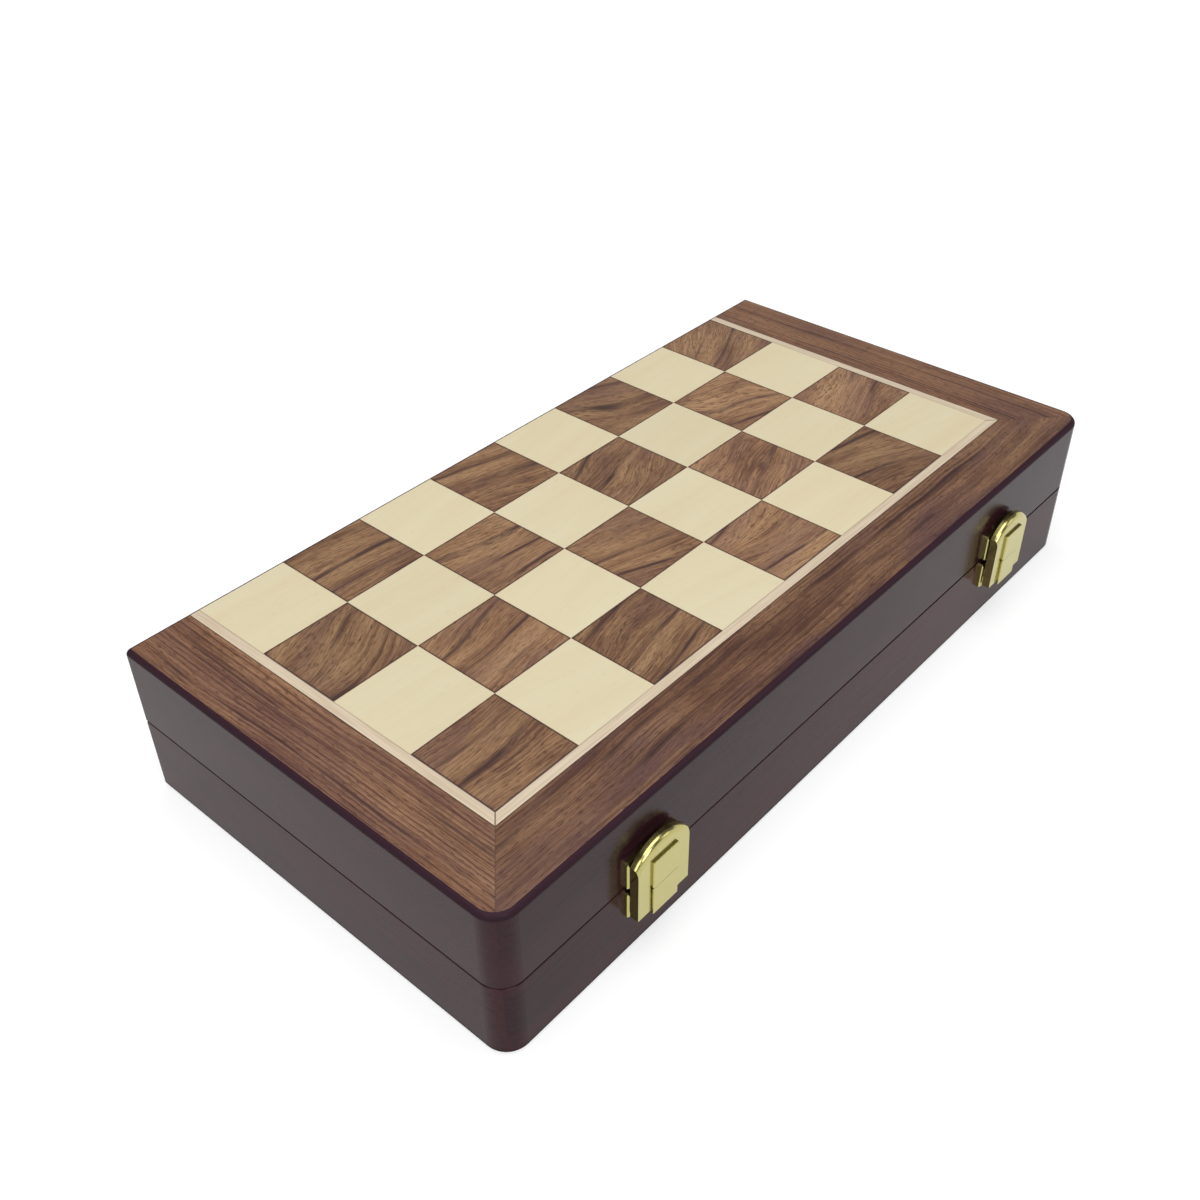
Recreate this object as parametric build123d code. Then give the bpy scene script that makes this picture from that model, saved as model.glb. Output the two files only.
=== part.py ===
from build123d import *
import os

os.makedirs("parts", exist_ok=True)

# Folding chess board case, closed, in millimetres.
# The origin is under the middle of the case, on the face it rests on. X runs along the
# hinge, -Y is the side with the latches, +Y is the hinge side and +Z is up.

# The board: eight files by four ranks on each half, a light stringing and a border veneer
# round three sides. The fourth side is the hinge edge, where the squares run out.
FILES = 8
RANKS = 4
SQUARE = 31.2
STRINGING = 3.2
BORDER = 22.0
LENGTH = FILES * SQUARE + 2 * (STRINGING + BORDER)
WIDTH = RANKS * SQUARE + STRINGING + BORDER

# The case: two equal trays, mouth to mouth, with a thin seam between them.
HEIGHT = 55.0
SEAM_GAP = 0.4
SEAM_Z = HEIGHT / 2
TRAY_HEIGHT = (HEIGHT - SEAM_GAP) / 2
SEAM_PLANE = Plane.XY.offset(SEAM_Z)
FACE_Y = -WIDTH / 2
BACK_Y = WIDTH / 2

# The woodwork of one tray.
RAIL = 8.0
PANEL = 2.8
VENEER = 0.6
RABBET = 4.0
CORNER_RADIUS = 7.5
EDGE_ROUND = 1.5
EDGE_LIP = 1.5
HINGE_LIP = 0.4
SEAM_CHAMFER = 0.15
MITRE_REACH = 20.0

# The lining: a thin floor cloth and a die-cut block of flocked foam, with a row of narrow
# pockets towards the latches and one long pocket towards the hinge.
LINING = 0.5
LINING_GAP = 0.3
BLOCK_BELOW_RIM = 3.0
NARROW_POCKETS = 8
NARROW_POCKET_WIDTH = 26.6
NARROW_POCKET_LENGTH = 73.0
POCKET_WEB = 7.4
LONG_POCKET_WIDTH = 43.0
POCKET_CORNER = 5.0
POCKET_MARGIN = 6.0

# The butt hinges, let into the rims with the barrel in the seam at the back. A leaf is one
# of the two plates, a knuckle is a length of the barrel that belongs to one leaf.
HINGE_X = 92.0
AXIS_OUTSIDE = 0.25
AXIS_Y = BACK_Y + AXIS_OUTSIDE
HINGE_LENGTH = 26.0
LEAF_REACH = 6.8
LEAF = 1.0
BARREL_RADIUS = 1.8
HINGE_PIN_RADIUS = 0.8
KNUCKLES = 5
KNUCKLE_GAP = 0.3
BARREL_ROOM = 0.35
HINGE_SCREW_X = 8.4
HINGE_SCREW_IN = 4.2
HINGE_SCREW_HEAD = 0.8
HINGE_SCREW_HEAD_RADIUS = 1.5
HINGE_SCREW_LENGTH = 7.0
HINGE_SCREW_RADIUS = 0.8

# The draw latches. Their shapes are given as (across, up) seen from the front, and as
# (out, up) seen from the side: out is the distance from the case's face, up is from the seam.
# The two plates meet a little below the seam. The cover is the loop's front: its sides and
# its arched head are turned back, and a raised panel in its middle goes on, below the crease,
# as the lever's finger tab.
LATCH_X = 94.5
PLATE_WIDTH = 21.0
PLATES_MEET_UP = -0.8
PLATE_GAP = 1.8
PLATE_HEIGHT = 9.7
PLATE_DEPTH = 1.8
PLATE_BEVEL = 0.7
PLATE_CORNER = 0.9
SHEET = 0.8
COVER_BACK = 4.2
COVER_FRONT = COVER_BACK + SHEET
RAISED_FRONT = COVER_FRONT + SHEET
RAISED_HALF = 5.1
WINDOW_HALF = 5.35
WINDOW_TOP = 0.25
COVER_BOTTOM = -9.6
TAB_BOTTOM = -10.8
TAB_TOP = -0.6
PANEL_BOTTOM = -0.5
PANEL_TOP = 9.4
ARCH_CENTRE_UP = 0.7
ARCH_RADIUS = 14.0
LIP = 1.5
LIP_BACK = 2.2
SIDE_WALL = 0.5
SIDE_WALL_BACK = 2.2
SIDE_WALL_TOP = 9.2
CLAW_HALF = 2.4
CLAW_BACK = 0.8
CLAW_SHEET = 0.5
CLAW_UP = (10.0, 10.75, 11.35)
ROOT_OUT = 1.0
HOOK_HALF = 2.2
HOOK_BACK = 3.4
HOOK_FRONT = 4.0
HOOK_ROOT_UP = (6.9, 7.8)
HOOK_BEND_UP = (9.2, 9.6)
HOOK_TOP = 10.25
LEVER_AXIS = (4.0, -2.1)
LOOP_AXIS = (3.7, -5.3)
LEVER_BARREL = RAISED_FRONT - LEVER_AXIS[0]
LEVER_CHEEK = [(5.2, -2.1), (5.2, -7.5), (3.7, -6.4), (2.7, -4.9), (2.8, -2.1)]
TAB_TOP_OUT = 5.5
EAR_INSIDE = 4.45
EAR_OUTSIDE = 5.2
EAR_RADIUS = 0.85
EAR_ARM_HALF = 0.7
CHEEK_INSIDE = 3.4
CHEEK_OUTSIDE = 4.25
LOOP_CHEEK_INSIDE = 5.5
LOOP_CHEEK_OUTSIDE = 6.3
CHEEK_RADIUS = 1.15
LATCH_PIN_RADIUS = 0.45
TIGHT = 0.02
RUNNING = 0.06
NAIL_X = 8.4
NAIL_SHANK = 0.5
NAIL_LENGTH = 5.0
NAIL_DOME = 1.5
NAIL_DOME_RISE = 0.5
SOFT_EDGE = 0.25
PRESSED_EDGE = 0.4
ROLLED_EDGE = 1.7
OVERLAP = 0.1

FRONT = Plane(origin=(0, FACE_Y, SEAM_Z), x_dir=(1, 0, 0), z_dir=(0, -1, 0))
SIDE = Plane(origin=(0, FACE_Y, SEAM_Z), x_dir=(0, -1, 0), z_dir=(-1, 0, 0))


def save(node, shape):
    """Write one sub-part, under the name of its node."""
    export_step(shape, f"parts/{node}.step")


def block(low, high):
    """A box between its lowest and its highest corner."""
    size = [b - a for a, b in zip(low, high)]
    return Pos(*low) * Box(*size, align=Align.MIN)


def prism(points, bottom, top):
    """An upright prism on an outline of (x, y) points."""
    outline = Plane.XY.offset(bottom) * Polygon(*points, align=None)
    return extrude(outline, amount=top - bottom)


def as_group(solids):
    """Separate solids of one kind, kept in one node."""
    return Compound(children=list(solids))


def lid_copy(shape):
    """The same piece in the upper tray, which is the lower one turned over in the seam."""
    return mirror(shape, about=SEAM_PLANE)


# The tray's frame: four rails, mitred at the corners, rebated for the panel and the veneers.

def tray_outside():
    """The tray's outside: large round corners at the front, a soft edge round the board."""
    body = block((-LENGTH / 2, FACE_Y, 0), (LENGTH / 2, BACK_Y, TRAY_HEIGHT))
    body = fillet(body.edges().filter_by(Axis.Z).group_by(Axis.Y)[0], CORNER_RADIUS)
    board_edges = body.edges().group_by(Axis.Z)[0]
    soft_edges = [edge for edge in board_edges if edge.center().Y < BACK_Y - 1]
    body = fillet(soft_edges, EDGE_ROUND)
    rim_edges = body.edges().group_by(Axis.Z)[-1]
    return chamfer(rim_edges, SEAM_CHAMFER)


def veneer_field(inset_sides, inset_back, corner):
    """The outline of the veneered field, with its two round front corners."""
    low_x = -LENGTH / 2 + inset_sides
    field = block((low_x, FACE_Y + inset_sides, 0), (-low_x, BACK_Y - inset_back, VENEER))
    return fillet(field.edges().filter_by(Axis.Z).group_by(Axis.Y)[0], corner)


def frame_ring():
    """The four rails before they are parted at the mitres."""
    ring = tray_outside()
    inner_x = LENGTH / 2 - RAIL
    inner_y = WIDTH / 2 - RAIL
    ring -= block((-inner_x, -inner_y, -1), (inner_x, inner_y, TRAY_HEIGHT + 1))
    seat_x = inner_x + RABBET
    seat_y = inner_y + RABBET
    ring -= block((-seat_x, -seat_y, -1), (seat_x, seat_y, VENEER + PANEL))
    ring -= veneer_field(EDGE_LIP, HINGE_LIP, CORNER_RADIUS - EDGE_LIP)
    return ring


def mitre_wedge(side):
    """The prism that holds one rail: its ends run at 45 degrees through the corners."""
    out_x = LENGTH / 2 + MITRE_REACH
    out_y = WIDTH / 2 + MITRE_REACH
    in_x = LENGTH / 2 - MITRE_REACH
    in_y = WIDTH / 2 - MITRE_REACH
    outlines = {
        "front": [(-out_x, -out_y), (out_x, -out_y), (in_x, -in_y), (-in_x, -in_y)],
        "hinge": [(-out_x, out_y), (-in_x, in_y), (in_x, in_y), (out_x, out_y)],
        "left": [(-out_x, -out_y), (-in_x, -in_y), (-in_x, in_y), (-out_x, out_y)],
        "right": [(out_x, -out_y), (out_x, out_y), (in_x, in_y), (in_x, -in_y)],
    }
    return prism(outlines[side], -1, TRAY_HEIGHT + 1)


def panel():
    """The thin ply panel, let into the rails' rebate under the veneers."""
    seat_x = LENGTH / 2 - RAIL + RABBET
    seat_y = WIDTH / 2 - RAIL + RABBET
    return block((-seat_x, -seat_y, VENEER), (seat_x, seat_y, VENEER + PANEL))


# The veneers of one playing face, laid on the panel and the rails.

def square_at(file, rank):
    """One square. Files count from the left, ranks from the hinge edge."""
    left = (file - FILES / 2) * SQUARE
    back = BACK_Y - rank * SQUARE
    hinge_trim = HINGE_LIP if rank == 0 else 0
    return block((left, back - SQUARE, 0), (left + SQUARE, back - hinge_trim, VENEER))


def squares(parity):
    """The sixteen squares of one colour."""
    cells = [(file, rank) for file in range(FILES) for rank in range(RANKS)]
    return as_group(square_at(*cell) for cell in cells if sum(cell) % 2 == parity)


def strip_ring(outer_inset, inner_inset):
    """A band round three sides of the board, parted at its mitres into three strips."""
    corner = CORNER_RADIUS - EDGE_LIP
    if outer_inset > EDGE_LIP:
        low_x = -LENGTH / 2 + outer_inset
        band = block((low_x, FACE_Y + outer_inset, 0), (-low_x, BACK_Y - HINGE_LIP, VENEER))
    else:
        band = veneer_field(EDGE_LIP, HINGE_LIP, corner)
    inner_x = LENGTH / 2 - inner_inset
    band -= block((-inner_x, FACE_Y + inner_inset, -1), (inner_x, BACK_Y + 1, VENEER + 1))
    reach = inner_inset + 1
    out_x = LENGTH / 2
    in_x = LENGTH / 2 - reach
    front_y = FACE_Y + reach
    wedges = {
        "front": [(-out_x, FACE_Y), (out_x, FACE_Y), (in_x, front_y), (-in_x, front_y)],
        "left": [(-out_x, FACE_Y), (-in_x, front_y), (-in_x, BACK_Y), (-out_x, BACK_Y)],
        "right": [(out_x, FACE_Y), (out_x, BACK_Y), (in_x, BACK_Y), (in_x, front_y)],
    }
    return {side: band & prism(outline, -1, VENEER + 1) for side, outline in wedges.items()}


# The lining of one tray.

def tray_floor_cloth():
    """The cloth glued to the panel inside the tray."""
    edge_x = LENGTH / 2 - RAIL - LINING_GAP
    edge_y = WIDTH / 2 - RAIL - LINING_GAP
    bottom = VENEER + PANEL
    return block((-edge_x, -edge_y, bottom), (edge_x, edge_y, bottom + LINING))


def pocket(centre_x, low_y, high_y, width):
    """The room that one pocket takes out of the block, right through it."""
    outline = RectangleRounded(width, high_y - low_y, POCKET_CORNER)
    centre_y = (low_y + high_y) / 2
    return extrude(Pos(centre_x, centre_y) * outline, amount=TRAY_HEIGHT)


def foam_block():
    """The die-cut block, with its eight narrow pockets and its long one."""
    edge_x = LENGTH / 2 - RAIL - LINING_GAP
    edge_y = WIDTH / 2 - RAIL - LINING_GAP
    bottom = VENEER + PANEL + LINING
    foam = block((-edge_x, -edge_y, bottom), (edge_x, edge_y, TRAY_HEIGHT - BLOCK_BELOW_RIM))
    narrow_low = -edge_y + POCKET_MARGIN
    narrow_high = narrow_low + NARROW_POCKET_LENGTH
    pitch = NARROW_POCKET_WIDTH + POCKET_WEB
    for place in range(NARROW_POCKETS):
        centre_x = (place - (NARROW_POCKETS - 1) / 2) * pitch
        foam -= pocket(centre_x, narrow_low, narrow_high, NARROW_POCKET_WIDTH)
    long_high = edge_y - POCKET_MARGIN
    long_width = NARROW_POCKETS * pitch - POCKET_WEB
    return foam - pocket(0, long_high - LONG_POCKET_WIDTH, long_high, long_width)


# The hinges. A leaf lies in the rim and its knuckles share the pin with the other leaf's.

def along_x(radius, low_x, high_x, y, z):
    """A round bar along X."""
    bar = Rot(0, 90, 0) * Cylinder(radius, high_x - low_x)
    return Pos((low_x + high_x) / 2, y, z) * bar


def knuckle_span(centre_x, index):
    """Where one knuckle starts and ends along the barrel."""
    pitch = HINGE_LENGTH / KNUCKLES
    low_x = centre_x - HINGE_LENGTH / 2 + index * pitch
    return low_x + KNUCKLE_GAP / 2, low_x + pitch - KNUCKLE_GAP / 2


def hinge_leaf(centre_x, own_knuckles, pin_fit):
    """The lower leaf with the knuckles it owns, and room for those it doesn't."""
    low_x = centre_x - HINGE_LENGTH / 2
    high_x = centre_x + HINGE_LENGTH / 2
    leaf_bottom = TRAY_HEIGHT - LEAF
    leaf = block((low_x, AXIS_Y - LEAF_REACH, leaf_bottom), (high_x, AXIS_Y, TRAY_HEIGHT))
    for index in range(KNUCKLES):
        start_x, end_x = knuckle_span(centre_x, index)
        if index in own_knuckles:
            leaf += along_x(BARREL_RADIUS, start_x, end_x, AXIS_Y, SEAM_Z)
        else:
            room_low = (start_x - KNUCKLE_GAP, AXIS_Y - BARREL_RADIUS - BARREL_ROOM, leaf_bottom)
            room_high = (end_x + KNUCKLE_GAP, AXIS_Y + BARREL_RADIUS, TRAY_HEIGHT)
            leaf -= block(room_low, room_high)
    leaf -= along_x(HINGE_PIN_RADIUS + pin_fit, low_x, high_x, AXIS_Y, SEAM_Z)
    return leaf - as_group(hinge_screws(centre_x))


def hinge_screws(centre_x):
    """Two countersunk screws through the lower leaf into the rail."""
    for side in (-1, 1):
        place = Pos(centre_x + side * HINGE_SCREW_X, AXIS_Y - HINGE_SCREW_IN, TRAY_HEIGHT)
        head = Cone(HINGE_SCREW_RADIUS, HINGE_SCREW_HEAD_RADIUS, HINGE_SCREW_HEAD)
        shank = Cylinder(HINGE_SCREW_RADIUS, HINGE_SCREW_LENGTH)
        shank_middle = -HINGE_SCREW_HEAD - HINGE_SCREW_LENGTH / 2
        yield place * (Pos(0, 0, -HINGE_SCREW_HEAD / 2) * head + Pos(0, 0, shank_middle) * shank)


def hinge_mortise(centre_x):
    """What one hinge takes out of the lower rim: the leaf's seat and the barrel's notch."""
    low_x = centre_x - HINGE_LENGTH / 2
    high_x = centre_x + HINGE_LENGTH / 2
    above_rim = TRAY_HEIGHT + 1
    seat_low = (low_x, AXIS_Y - LEAF_REACH, TRAY_HEIGHT - LEAF)
    seat = block(seat_low, (high_x, BACK_Y + 1, above_rim))
    room = BARREL_RADIUS + BARREL_ROOM
    notch_low = (low_x - BARREL_ROOM, AXIS_Y - room, SEAM_Z - room)
    return seat + block(notch_low, (high_x + BARREL_ROOM, BACK_Y + 1, above_rim))


# The latches: a strike plate with a hook above the seam, and below it a base plate whose
# ears carry the lever. The draw loop turns on the lever and its claw goes over the hook.

def from_side(sketch, near, far):
    """A sketch of (out, up) given thickness along X, on both sides of the latch's middle."""
    piece = extrude(SIDE * sketch, amount=(far - near) / 2, both=True)
    right = Pos((near + far) / 2, 0, 0) * piece
    return right + mirror(right, about=Plane.YZ)


def across_middle(sketch, half_width):
    """A sketch of (out, up) given thickness along X across the latch's middle."""
    return extrude(SIDE * sketch, amount=half_width, both=True)


def from_front(sketch, back, front):
    """A sketch of (across, up) given depth between two distances from the case's face."""
    return extrude(FRONT.offset(back) * sketch, amount=front - back)


def softened(piece, radius, keep_top=False, keep_bottom=False):
    """The piece with the edges of its front face eased, but for a top or bottom one."""
    edges = piece.faces().filter_by(Axis.Y).sort_by(Axis.Y)[0].edges()
    level = edges.filter_by(Axis.X).sort_by(Axis.Z)
    kept = ([level[-1]] if keep_top else []) + ([level[0]] if keep_bottom else [])
    return fillet([edge for edge in edges if edge not in kept], radius)


def round_at(axis, radius):
    """A disc about one of the latch's axes, in the side view."""
    return Pos(*axis) * Circle(radius)


def span(low_x, high_x, low_up, high_up):
    """A rectangle between two corners, in either view."""
    centre = Pos((low_x + high_x) / 2, (low_up + high_up) / 2)
    return centre * Rectangle(high_x - low_x, high_up - low_up)


def arch(radius, half_width):
    """The part of a disc about the arch's centre that lies above it, cut to a width."""
    disc = Pos(0, ARCH_CENTRE_UP) * Circle(radius)
    return disc & span(-half_width, half_width, ARCH_CENTRE_UP, ARCH_CENTRE_UP + ARCH_RADIUS)


def plate_middle(direction):
    """The height of a plate's middle: direction is 1 for the upper one and -1 for the lower."""
    return PLATES_MEET_UP + direction * (PLATE_GAP + PLATE_HEIGHT) / 2


def latch_plate(direction):
    """A pressed plate, bevelled in front."""
    rounded = RectangleRounded(PLATE_WIDTH, PLATE_HEIGHT, PLATE_CORNER)
    outline = Pos(0, plate_middle(direction)) * rounded
    plate = from_front(outline, 0, PLATE_DEPTH)
    return chamfer(plate.faces().sort_by(Axis.Y)[0].edges(), PLATE_BEVEL)


def strike_plate():
    """The upper plate with its upturned hook."""
    root_low, root_high = HOOK_ROOT_UP
    bend_front, bend_back = HOOK_BEND_UP
    hook_outline = [(ROOT_OUT, root_low), (HOOK_FRONT, bend_front), (HOOK_FRONT, HOOK_TOP),
                    (HOOK_BACK, HOOK_TOP), (HOOK_BACK, bend_back), (ROOT_OUT, root_high)]
    hook = across_middle(Polygon(*hook_outline, align=None), HOOK_HALF)
    return latch_plate(1) + hook - as_group(nails(1))


def base_plate():
    """The lower plate with the two ears that carry the lever's pin."""
    out, up = LEVER_AXIS
    ear_arm = span(ROOT_OUT, out, up - EAR_ARM_HALF, up + EAR_ARM_HALF)
    ear = round_at(LEVER_AXIS, EAR_RADIUS) + ear_arm
    plate = latch_plate(-1) + from_side(ear, EAR_INSIDE, EAR_OUTSIDE)
    plate -= across_middle(round_at(LEVER_AXIS, LATCH_PIN_RADIUS + TIGHT), EAR_OUTSIDE)
    return plate - as_group(nails(-1))


def lever():
    """The finger tab: a barrel on the lever's pin, the tab, and two cheeks for the loop's pin."""
    axis_up = LEVER_AXIS[1]
    tab_front = span(-RAISED_HALF, RAISED_HALF, TAB_BOTTOM, TAB_TOP)
    tab = softened(from_front(tab_front, COVER_FRONT, RAISED_FRONT), SOFT_EDGE, keep_top=True)
    thinned = [(COVER_FRONT - OVERLAP, axis_up), (TAB_TOP_OUT, TAB_TOP + OVERLAP),
               (COVER_FRONT - OVERLAP, TAB_TOP + OVERLAP)]
    tab -= across_middle(Polygon(*thinned, align=None), RAISED_HALF + OVERLAP)
    root = round_at(LEVER_AXIS, LEVER_BARREL)
    root += span(COVER_FRONT, RAISED_FRONT, axis_up - LEVER_BARREL, axis_up)
    cheek = Polygon(*LEVER_CHEEK, align=None) + round_at(LOOP_AXIS, CHEEK_RADIUS)
    whole = tab + across_middle(root, CHEEK_OUTSIDE)
    whole += from_side(cheek, CHEEK_INSIDE, CHEEK_OUTSIDE)
    whole -= across_middle(round_at(LEVER_AXIS, LATCH_PIN_RADIUS + RUNNING), CHEEK_OUTSIDE)
    return whole - across_middle(round_at(LOOP_AXIS, LATCH_PIN_RADIUS + TIGHT), CHEEK_OUTSIDE)


def cover():
    """The loop's front: a sheet with a rolled head and side walls, open below for the tab."""
    half = PLATE_WIDTH / 2
    sheet = arch(ARCH_RADIUS, half) + span(-half, half, COVER_BOTTOM, ARCH_CENTRE_UP)
    lip = arch(ARCH_RADIUS, half) - arch(ARCH_RADIUS - LIP, half)
    whole = from_front(sheet, COVER_BACK, COVER_FRONT) + from_front(lip, LIP_BACK, COVER_BACK)
    head = whole.edges().filter_by(GeomType.CIRCLE).group_by(Axis.Y)[0]
    whole = fillet(head, ROLLED_EDGE)
    walls = span(-half, half, COVER_BOTTOM, SIDE_WALL_TOP)
    walls -= span(SIDE_WALL - half, half - SIDE_WALL, COVER_BOTTOM, SIDE_WALL_TOP)
    whole += from_front(walls, SIDE_WALL_BACK, COVER_BACK)
    window = span(-WINDOW_HALF, WINDOW_HALF, COVER_BOTTOM - 1, WINDOW_TOP)
    return whole - from_front(window, 0, COVER_FRONT)


def draw_loop():
    """The cover with its raised panel, the claw behind it and two cheeks on the loop's pin."""
    raised = span(-RAISED_HALF, RAISED_HALF, PANEL_BOTTOM, PANEL_TOP)
    panel_front = from_front(raised, COVER_BACK, RAISED_FRONT)
    relief = [(RAISED_FRONT, PANEL_BOTTOM), (COVER_BACK, WINDOW_TOP), (COVER_BACK, PANEL_BOTTOM)]
    panel_front = softened(panel_front, PRESSED_EDGE, keep_bottom=True)
    panel_front -= across_middle(Polygon(*relief, align=None), RAISED_HALF + OVERLAP)
    claw_low, bridge_low, bridge_high = CLAW_UP
    claw = span(CLAW_BACK, CLAW_BACK + CLAW_SHEET, claw_low, bridge_high)
    claw += span(CLAW_BACK, COVER_BACK, bridge_low, bridge_high)
    out, up = LOOP_AXIS
    cheek = round_at(LOOP_AXIS, CHEEK_RADIUS)
    cheek += span(out, COVER_FRONT, up - CHEEK_RADIUS, up + CHEEK_RADIUS)
    whole = cover() + panel_front + across_middle(claw, CLAW_HALF)
    whole += from_side(cheek, LOOP_CHEEK_INSIDE, LOOP_CHEEK_OUTSIDE)
    bore = round_at(LOOP_AXIS, LATCH_PIN_RADIUS + RUNNING)
    return whole - across_middle(bore, LOOP_CHEEK_OUTSIDE)


def nails(direction):
    """The two domed nails of one plate."""
    up = plate_middle(direction)
    head_front = PLATE_DEPTH + NAIL_DOME_RISE
    for side in (-1, 1):
        shank = from_front(Pos(side * NAIL_X, up) * Circle(NAIL_SHANK), -NAIL_LENGTH, PLATE_DEPTH)
        dome_y = FACE_Y - head_front + NAIL_DOME
        dome = Pos(side * NAIL_X, dome_y, SEAM_Z + up) * Sphere(NAIL_DOME)
        dome &= from_front(Pos(side * NAIL_X, up) * Circle(NAIL_DOME), PLATE_DEPTH, head_front)
        yield shank + dome


def latch_pin(axis, half_length):
    """One of the latch's two pins."""
    return across_middle(round_at(axis, LATCH_PIN_RADIUS), half_length)


# Both trays. The lower one is the base, the upper one the lid.

ring = frame_ring()
for hinge_x in (-HINGE_X, HINGE_X):
    ring -= hinge_mortise(hinge_x)
    ring -= as_group(hinge_screws(hinge_x))

lower_nails = [Pos(x, 0, 0) * nail for x in (-LATCH_X, LATCH_X) for nail in nails(-1)]
upper_nails = [Pos(x, 0, 0) * nail for x in (-LATCH_X, LATCH_X) for nail in nails(1)]

for side_name in ("front", "hinge", "left", "right"):
    rail = ring & mitre_wedge(side_name)
    base_rail = rail
    lid_rail = lid_copy(rail)
    if side_name == "front":
        base_rail = rail - as_group(lower_nails)
        lid_rail = lid_rail - as_group(upper_nails)
    save(f"base_{side_name}_rail", base_rail)
    save(f"lid_{side_name}_rail", lid_rail)

save("base_panel", panel())
save("lid_panel", lid_copy(panel()))

# The two faces continue each other across the hinge, so their colours are swapped.
save("base_dark_squares", squares(0))
save("base_light_squares", squares(1))
save("lid_light_squares", lid_copy(squares(0)))
save("lid_dark_squares", lid_copy(squares(1)))

stringing = as_group(strip_ring(BORDER, BORDER + STRINGING).values())
save("base_stringing", stringing)
save("lid_stringing", lid_copy(stringing))
for side_name, strip in strip_ring(EDGE_LIP, BORDER).items():
    save(f"base_{side_name}_border", strip)
    save(f"lid_{side_name}_border", lid_copy(strip))

save("base_floor_cloth", tray_floor_cloth())
save("lid_floor_cloth", lid_copy(tray_floor_cloth()))
save("base_foam_tray", foam_block())
save("lid_foam_tray", lid_copy(foam_block()))

for name, hinge_x in (("left", -HINGE_X), ("right", HINGE_X)):
    save(f"{name}_hinge_lower_leaf", hinge_leaf(hinge_x, (0, 2, 4), TIGHT))
    save(f"{name}_hinge_upper_leaf", lid_copy(hinge_leaf(hinge_x, (1, 3), RUNNING)))
    half_pin = HINGE_LENGTH / 2
    pin = along_x(HINGE_PIN_RADIUS, hinge_x - half_pin, hinge_x + half_pin, AXIS_Y, SEAM_Z)
    save(f"{name}_hinge_pin", pin)
all_hinge_screws = [screw for x in (-HINGE_X, HINGE_X) for screw in hinge_screws(x)]
save("hinge_lower_screws", as_group(all_hinge_screws))
save("hinge_upper_screws", lid_copy(as_group(all_hinge_screws)))

latch_pieces = {
    "strike_plate": strike_plate(),
    "base_plate": base_plate(),
    "lever": lever(),
    "draw_loop": draw_loop(),
    "lever_pin": latch_pin(LEVER_AXIS, EAR_OUTSIDE),
    "loop_pin": latch_pin(LOOP_AXIS, LOOP_CHEEK_OUTSIDE),
}
for name, latch_x in (("left", -LATCH_X), ("right", LATCH_X)):
    for piece, shape in latch_pieces.items():
        save(f"{name}_latch_{piece}", Pos(latch_x, 0, 0) * shape)
save("latch_lower_nails", as_group(lower_nails))
save("latch_upper_nails", as_group(upper_nails))
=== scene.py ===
import math

import bmesh
import bpy
from mathutils import Matrix, Vector


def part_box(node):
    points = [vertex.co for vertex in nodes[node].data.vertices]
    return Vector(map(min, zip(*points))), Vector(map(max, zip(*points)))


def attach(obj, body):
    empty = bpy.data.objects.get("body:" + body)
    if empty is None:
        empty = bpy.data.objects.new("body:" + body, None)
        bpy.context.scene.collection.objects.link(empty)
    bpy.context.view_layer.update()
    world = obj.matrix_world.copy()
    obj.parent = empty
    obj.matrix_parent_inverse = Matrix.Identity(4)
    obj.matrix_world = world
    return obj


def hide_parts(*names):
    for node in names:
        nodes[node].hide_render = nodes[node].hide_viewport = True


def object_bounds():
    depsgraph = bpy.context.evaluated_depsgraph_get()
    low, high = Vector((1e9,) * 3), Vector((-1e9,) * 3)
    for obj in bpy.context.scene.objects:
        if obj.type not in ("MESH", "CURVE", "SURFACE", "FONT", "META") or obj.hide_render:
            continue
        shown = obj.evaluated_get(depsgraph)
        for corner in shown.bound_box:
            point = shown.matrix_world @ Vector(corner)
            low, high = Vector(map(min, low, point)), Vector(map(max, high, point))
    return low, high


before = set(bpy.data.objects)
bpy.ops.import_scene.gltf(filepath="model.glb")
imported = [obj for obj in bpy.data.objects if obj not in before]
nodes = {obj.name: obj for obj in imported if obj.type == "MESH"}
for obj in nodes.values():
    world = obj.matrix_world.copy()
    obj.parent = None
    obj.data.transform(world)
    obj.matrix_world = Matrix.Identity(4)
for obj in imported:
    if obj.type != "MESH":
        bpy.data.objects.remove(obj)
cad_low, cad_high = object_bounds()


# The rails. Each tray's frame is four hardwood rails, mitred at the corners, sprayed with a
# dark cherry lacquer and rubbed to a satin gloss. Round the board the rounded edge has a thinner
# coat and painted shade, and so has the mouth of the seam between the trays, most to the right.

HALVES = ("base", "lid")
MM = 0.001
RAIL_GRAIN_FREQUENCY = (0.012, 0.9, 0.9)
RAIL_CLOUD_FREQUENCY = (0.008, 0.05, 0.05)
RAIL_GRAIN_SHARE = 0.45
RAIL_TONES = (0.38, 0.62)
LACQUER_DARK = (0.029, 0.010, 0.014)
LACQUER_RED = {"base": (0.066, 0.014, 0.017), "lid": (0.053, 0.015, 0.019)}
# Painted shade: the rounded edges round the board are darkened to this colour, where the coat is
# also thinner.
LACQUER_EDGE_SHADE = (0.036, 0.017, 0.024)
LACQUER_RIPPLE_MM = 9.0
LACQUER_RIPPLE_DEPTH_MM = 0.03
CASE_HEIGHT_MM = cad_high[2] / MM
CASE_LENGTH_MM = 2 * cad_high[0] / MM
CASE_WIDTH_MM = 2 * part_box("base_hinge_rail")[1][1] / MM
DULL_AND_SHADED_EDGE_MM = (1.4, 2.1)
COAT = {"base": 0.73, "lid": 0.82}
DULL_COAT = 0.21
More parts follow.
